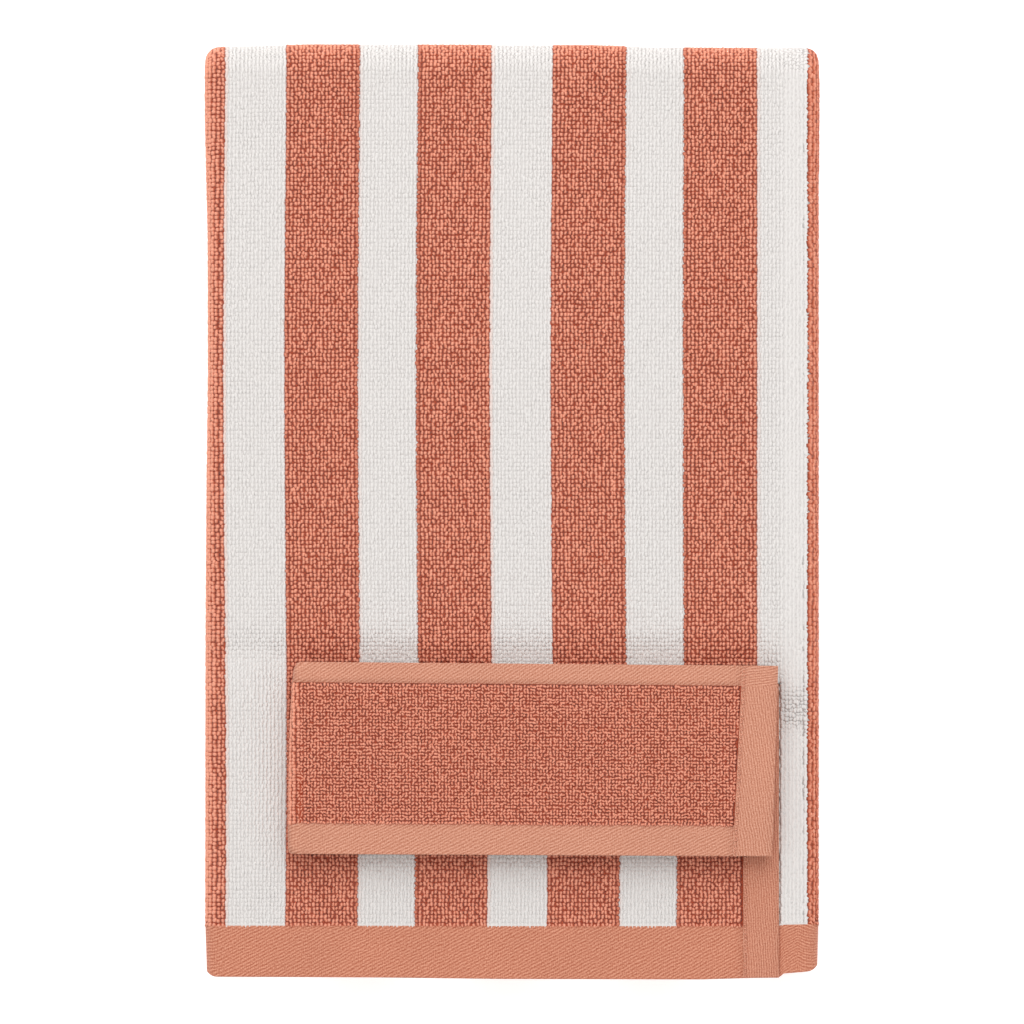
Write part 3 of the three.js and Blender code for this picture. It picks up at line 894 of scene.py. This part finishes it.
class Nodes:
    """A node tree with short calls to add and link nodes."""

    def __init__(self, tree):
        self.tree = tree

    def feed(self, socket, value):
        if isinstance(value, bpy.types.NodeSocket):
            self.tree.links.new(value, socket)
        else:
            socket.default_value = value

    def new(self, kind, inputs=(), **settings):
        """A new node with its settings and its inputs, which are values or other nodes' sockets."""
        node = self.tree.nodes.new(kind)
        for name, value in settings.items():
            setattr(node, name, value)
        for key, value in dict(inputs).items():
            self.feed(node.inputs[key], value)
        return node

    def math(self, operation, *values):
        return self.new("ShaderNodeMath", enumerate(values), operation=operation).outputs[0]

    def total(self, first, *rest):
        for value in rest:
            first = self.math("ADD", first, value)
        return first

    def wave(self, value, length):
        return self.math("SINE", self.math("MULTIPLY", value, 2 * math.pi / length))

    def swing(self, value, by, middle=0.5):
        """How far a value lies from its middle, times by."""
        return self.math("MULTIPLY", self.math("SUBTRACT", value, middle), by)

    def vector(self, operation, inputs):
        return self.new("ShaderNodeVectorMath", inputs, operation=operation).outputs

    def scaled(self, vector, by):
        return self.vector("SCALE", {0: vector, "Scale": by})["Vector"]

    def split(self, vector):
        return self.new("ShaderNodeSeparateXYZ", {0: vector}).outputs

    def noise(self, place, scale, detail=1.0):
        inputs = {"Vector": place, "Scale": scale, "Detail": detail}
        return self.new("ShaderNodeTexNoise", inputs).outputs["Fac"]

    def attribute(self, label):
        return self.new("ShaderNodeAttribute", attribute_name=label).outputs["Fac"]

    def ramp(self, fac, stops):
        node = self.new("ShaderNodeValToRGB", {"Fac": fac})
        elements = node.color_ramp.elements
        while len(elements) < len(stops):
            elements.new(0.5)
        for element, (at, color) in zip(elements, stops):
            element.position = at
            element.color = (*color, 1)
        return node.outputs["Color"]

    def blend(self, fac, a, b):
        return self.new("ShaderNodeMix", {"Factor": fac, 6: a, 7: b}, data_type="RGBA").outputs[2]


def srgb(*levels):
    """A colour read off as 0 to 255, as Blender's linear values."""
    shares = [level / 255 for level in levels]
    return tuple(c / 12.92 if c <= 0.04045 else ((c + 0.055) / 1.055) ** 2.4 for c in shares)


def group(name, outputs, **inputs):
    """A node group that is given a place on the cloth, its nodes, its inputs and its outputs."""
    tree = bpy.data.node_groups.new(name, "ShaderNodeTree")
    for label, kind in {"Place": "NodeSocketVector", **inputs}.items():
        tree.interface.new_socket(label, in_out="INPUT", socket_type=kind)
    for label in outputs:
        tree.interface.new_socket(label, in_out="OUTPUT", socket_type="NodeSocketFloat")
    nodes = Nodes(tree)
    return tree, nodes, nodes.new("NodeGroupInput").outputs, nodes.new("NodeGroupOutput").inputs


def tone_patches(n, place):
    return n.noise(place, scale=0.05, detail=3.0)


def looped_pile_group():
    """The ground between the loops, and the pile where it lies hidden."""
    tree, n, given, put = group("Looped pile", ("Height", "Patch"))
    place = given["Place"]
    apart = n.split(place)
    columns, rows = n.wave(apart["X"], LOOP_ACROSS), n.wave(apart["Y"], LOOP_ALONG)
    weave = n.math("MULTIPLY", n.math("ADD", columns, rows), 0.14)
    maze = n.swing(n.noise(place, scale=1.5, detail=0.6), by=1.6)
    n.feed(put["Height"], n.total(weave, maze, 0.5))
    n.feed(put["Patch"], tone_patches(n, place))
    return tree


def twill_group():
    """Fine slanting ribs of a flat weave. Wave is how many ribs a millimetre holds, across and along.

    Turn is the place across the cloth where the ribs' slant turns over.
    """
    more = {"Wave": "NodeSocketVector", "Turn": "NodeSocketFloat"}
    tree, n, given, put = group("Twill ribs", ("Height", "Patch"), **more)
    place = given["Place"]
    apart = n.split(place)
    across = n.math("ABSOLUTE", n.math("SUBTRACT", apart["X"], given["Turn"]))
    turned = n.new("ShaderNodeCombineXYZ", {"X": across, "Y": apart["Y"]}).outputs[0]
    ribs = n.vector("DOT_PRODUCT", {0: turned, 1: given["Wave"]})["Value"]
    wander = n.swing(n.noise(place, scale=0.25, detail=2.0), by=1.2)
    broken = n.swing(n.noise(place, scale=1.0), by=0.75, middle=0.22)
    relief = n.math("MULTIPLY", n.wave(n.math("ADD", ribs, wander), 1.0), broken)
    threads = n.math("MULTIPLY", n.wave(apart["X"], THREAD_APART), 0.07)
    fine = n.swing(n.noise(place, scale=2.4), by=1.3)
    n.feed(put["Height"], n.total(relief, threads, fine, 0.5))
    n.feed(put["Patch"], tone_patches(n, place))
    return tree


def yarn_group():
    """The tone of one loop, from its root to its top, with painted light at the left folds, painted shade
    on the raised column, and the yarn's twist.
    """
    tree, n, given, put = group("Looped yarn", ("Tone", "Twist"))
    own = n.swing(n.attribute("Tone"), by=0.3)
    # The loop's rise darkens its root: painted shade between the loops.
    n.feed(put["Tone"], n.total(n.attribute("Rise"), own, n.attribute("PaintedLighting")))
    n.feed(put["Twist"], n.noise(given["Place"], scale=4.0))
    return tree


# The ground ramps and the lower ends of the loop and stitch ramps are the yarn's coral and off-white
# darkened as painted shade between the loops; the upper ends are the yarn's own colour at the loops' tops.
SHADED_CORAL_GROUND = [(0.1, srgb(144, 58, 38)), (0.9, srgb(172, 84, 60))]
SHADED_WHITE_GROUND = [(0.1, srgb(207, 202, 199)), (0.9, srgb(215, 211, 208))]
CORAL_LOOP = [(0.15, srgb(170, 84, 60)), (0.45, srgb(202, 116, 90)), (0.9, srgb(231, 158, 132))]
WHITE_LOOP = [(0.15, srgb(215, 210, 207)), (0.5, srgb(218, 214, 211)), (0.9, srgb(219, 215, 212))]
BLEND_CORAL = srgb(172, 84, 60)
BLEND_WHITE = srgb(224, 198, 188)
HEM_TONES = [(0.1, srgb(168, 95, 70)), (0.5, srgb(192, 125, 100)), (0.9, srgb(218, 155, 129))]
RIB_TONES = [(0.1, srgb(168, 100, 76)), (0.5, srgb(192, 128, 104)), (0.9, srgb(216, 156, 132))]
BAND_TONES = [(0.1, srgb(173, 108, 84)), (0.5, srgb(197, 136, 112)), (0.9, srgb(221, 164, 140))]
STITCH_TONES = [(0.2, srgb(176, 100, 76)), (0.6, srgb(214, 144, 118)), (1.0, srgb(236, 172, 146))]

# How far each relief stands out, how far apart a hem's threads lie, and how soft a stripe's edge is
GROUND_RELIEF = 0.2
YARN_RELIEF = 0.05
HEM_RELIEF = 0.1
THREAD_APART = 0.6
STRIPE_SOFT = 0.2

CLOTH_LOOK = {"Roughness": 0.95, "Specular IOR Level": 0.1, "Sheen Weight": 0.1, "Sheen Roughness": 0.5}
HEM_LOOK = {**CLOTH_LOOK, "Roughness": 0.85}


def new_material(name, look):
    material = bpy.data.materials.new(name)
    material.use_nodes = True
    shader = material.node_tree.nodes["Principled BSDF"]
    for label, value in look.items():
        shader.inputs[label].default_value = value
    return material, shader


def fabric(name, group, look=CLOTH_LOOK, **values):
    """A new cloth material, its nodes, its shader, the flat place and what its group puts out."""
    material, shader = new_material(name, look)
    n = Nodes(material.node_tree)
    place = n.scaled(n.new("ShaderNodeUVMap", uv_map="Cloth").outputs["UV"], 1 / MM)
    out = n.new("ShaderNodeGroup", {"Place": place, **values}, node_tree=group).outputs
    return material, n, shader, place, out


def finish(n, shader, color, height, distance):
    """Gives a shader its colour and its relief."""
    n.feed(shader.inputs["Base Color"], color)
    bump = n.new("ShaderNodeBump", {"Distance": distance * MM, "Height": height})
    n.feed(shader.inputs["Normal"], bump.outputs["Normal"])


def age(n, color, patch, depth):
    """Slow changes of tone over the cloth."""
    return n.scaled(color, n.math("ADD", n.swing(patch, depth * 2), 1.0))


def striped_ground(pile):
    """The striped side's ground weave in coral and off-white stripes, darkened as painted shade between the
    loops.
    """
    material, n, shader, place, out = fabric("Striped terry", pile)
    coral = n.ramp(out["Height"], SHADED_CORAL_GROUND)
    white = n.ramp(out["Height"], SHADED_WHITE_GROUND)
    ragged = n.swing(n.noise(place, scale=0.9), by=0.9)
    across = n.math("ADD", n.math("SUBTRACT", n.split(place)["X"], CORAL_START), ragged)
    turn = n.math("FLOORED_MODULO", across, STRIPE_REPEAT)
    half = CORAL_STRIPE / 2
    from_middle = n.math("ABSOLUTE", n.math("SUBTRACT", turn, half))
    limits = {"From Min": half - STRIPE_SOFT, "From Max": half + STRIPE_SOFT, "To Min": 1.0, "To Max": 0.0}
    in_coral = n.new("ShaderNodeMapRange", {"Value": from_middle, **limits}).outputs["Result"]
    color = n.blend(in_coral, white, coral)
    finish(n, shader, age(n, color, out["Patch"], 0.05), out["Height"], GROUND_RELIEF)
    return material


def even_cloth(name, group, tones, relief, **values):
    """A cloth of one yarn: the plain side's ground weave, or a hem."""
    material, n, shader, _, out = fabric(name, group, **values)
    color = age(n, n.ramp(out["Height"], tones), out["Patch"], 0.06)
    finish(n, shader, color, out["Height"], relief)
    return material


def hem_weave(name, twill, tones, wave, turn=-FAR):
    return even_cloth(name, twill, tones, HEM_RELIEF, look=HEM_LOOK, Wave=(*wave, 0.0), Turn=turn)


def loop_yarn(name, yarn, tones, blend=None, blend_share=0.0):
    """The yarn of the loops, darker at the root as painted shade between the loops, mixed with the other
    yarn at a stripe's edge.
    """
    material, n, shader, _, out = fabric(name, yarn)
    color = n.ramp(out["Tone"], tones)
    if blend:
        color = n.blend(n.math("MULTIPLY", n.attribute("Edge"), blend_share), color, (*blend, 1))
    finish(n, shader, color, out["Twist"], YARN_RELIEF)
    return material


# The studio, in metres

PHOTO_PIXEL = 0.29 * MM
PHOTO_PIXELS = 1024
CAMERA_DISTANCE = 8.0
CAMERA_REACH = 20.0
FLOOR_HALF = 4.0
FLOOR_LOOK = {"Base Color": (0.96, 0.96, 0.96, 1), "Roughness": 0.9}
FLOOR_GLOW = 0.4  # the floor is a softly lit white table
WORLD_LIGHT = 0.7

# Each light's power, size and place
LIGHTS = {
    "Key": (16.0, (1.6, 1.6), (0.0, 1.0, 1.0)),
    "Fill": (5.0, (1.6, 1.2), (-0.3, -0.9, 1.3)),
}


def lay_floor():
    """The table's white top under the towel."""
    mesh = bpy.data.meshes.new("Floor")
    corners = [(x * FLOOR_HALF, y * FLOOR_HALF, 0) for x, y in ((-1, -1), (1, -1), (1, 1), (-1, 1))]
    mesh.from_pydata(corners, [], [(0, 1, 2, 3)])
    floor = link("Floor", mesh)
    material, shader = new_material("Pale floor", FLOOR_LOOK)
    mesh.materials.append(material)
    shader.inputs["Emission Color"].default_value = (1, 1, 1, 1)
    shader.inputs["Emission Strength"].default_value = FLOOR_GLOW


def studio():
    """The world's light, the floor, two area lights aimed at the towel, and the camera over it."""
    scene = bpy.context.scene
    scene.view_settings.view_transform = "Standard"
    scene.world = bpy.data.worlds.new("Studio")
    scene.world.use_nodes = True
    background = scene.world.node_tree.nodes["Background"]
    background.inputs["Color"].default_value = (1, 1, 1, 1)
    background.inputs["Strength"].default_value = WORLD_LIGHT
    lay_floor()
    for name, (power, size, place) in LIGHTS.items():
        light = bpy.data.lights.new(name, "AREA")
        light.shape = "RECTANGLE"
        light.size, light.size_y = size
        light.energy = power
        lamp = link(name, light)
        lamp.location = place
        lamp.rotation_euler = (-lamp.location).to_track_quat("-Z", "Y").to_euler()

    camera = bpy.data.cameras.new("Camera")
    camera.lens = camera.sensor_width * CAMERA_DISTANCE / (PHOTO_PIXELS * PHOTO_PIXEL)
    camera.clip_end = CAMERA_REACH
    scene.camera = link("Camera", camera)
    scene.camera.location = (PHOTO_PIXEL / 2, 0, FRONT_TOP * MM + CAMERA_DISTANCE)


studio()
pile = looped_pile_group()
twill = twill_group()
yarn = yarn_group()
striped = striped_ground(pile)
plain = even_cloth("Plain terry", pile, SHADED_CORAL_GROUND, GROUND_RELIEF)
end_twill = hem_weave("End hem twill", twill, HEM_TONES, (0.5, -1.0))
side_rib = hem_weave("Side hem rib", twill, RIB_TONES, (1.36, 0.1))
turn = COLUMN_TWILL_TURN_X + RIGHT_CORAL_SHIFT - BACK_REPEATS * STRIPE_REPEAT
column_twill = hem_weave("Column hem twill", twill, HEM_TONES, (-0.55, -1.07), turn)
strip_twill = hem_weave("Strip hem twill", twill, BAND_TONES, (0.5, -1.03))
strip_rib = hem_weave("Strip side rib", twill, BAND_TONES, (1.24, 0.2))
corner_weave = hem_weave("Strip corner weave", twill, BAND_TONES, (0.2, -1.3))
top_twill = hem_weave("Strip top twill", twill, BAND_TONES, (0.65, -0.98))
coral_yarn = loop_yarn("Coral loops", yarn, CORAL_LOOP, BLEND_CORAL, blend_share=0.6)
white_yarn = loop_yarn("White loops", yarn, WHITE_LOOP, BLEND_WHITE, blend_share=0.7)
plain_yarn = loop_yarn("Plain side loops", yarn, CORAL_LOOP)

towel_pile = []
for label, spots in zip(("front", "fold"), towel_spots()):
    coral = stripe_place(np.round(spots[3][:, 0] / LOOP_ACROSS) * LOOP_ACROSS) > 0
    corals, whites = ([values[chosen] for values in spots] for chosen in (coral, ~coral))
    towel_pile.append(stand_loops(f"{label}_coral_pile", corals, coral_yarn, **CORAL_LOOPS))
    towel_pile.append(stand_loops(f"{label}_white_pile", whites, white_yarn, **WHITE_LOOPS))

towel_seam, strip_seam = seam_spots()
thread = loop_yarn("Hem thread", yarn, STITCH_TONES)
towel_pile.append(stand_loops("hem_stitches", towel_seam, thread, **STITCHES))
strip_stitches = stand_loops("strip_stitches", strip_seam, thread, **STITCHES)

towel = fold_cloth().build("towel_cloth", [striped, end_twill, side_rib, plain, column_twill])
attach(towel, "root")
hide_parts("towel")
for piece in towel_pile:
    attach(piece, "root")

strip_cloths = [striped, strip_twill, strip_rib, plain, corner_weave, top_twill]
strip = fold_strip().build("turned_out_strip", strip_cloths)
strip_pile = stand_loops("strip_pile", strip_spots(), plain_yarn, **STRIP_LOOPS)
for piece, slot in ((strip, "plain_terry"), (strip_pile, "plain_terry"), (strip_stitches, "woven_hem")):
    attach(piece, "root")
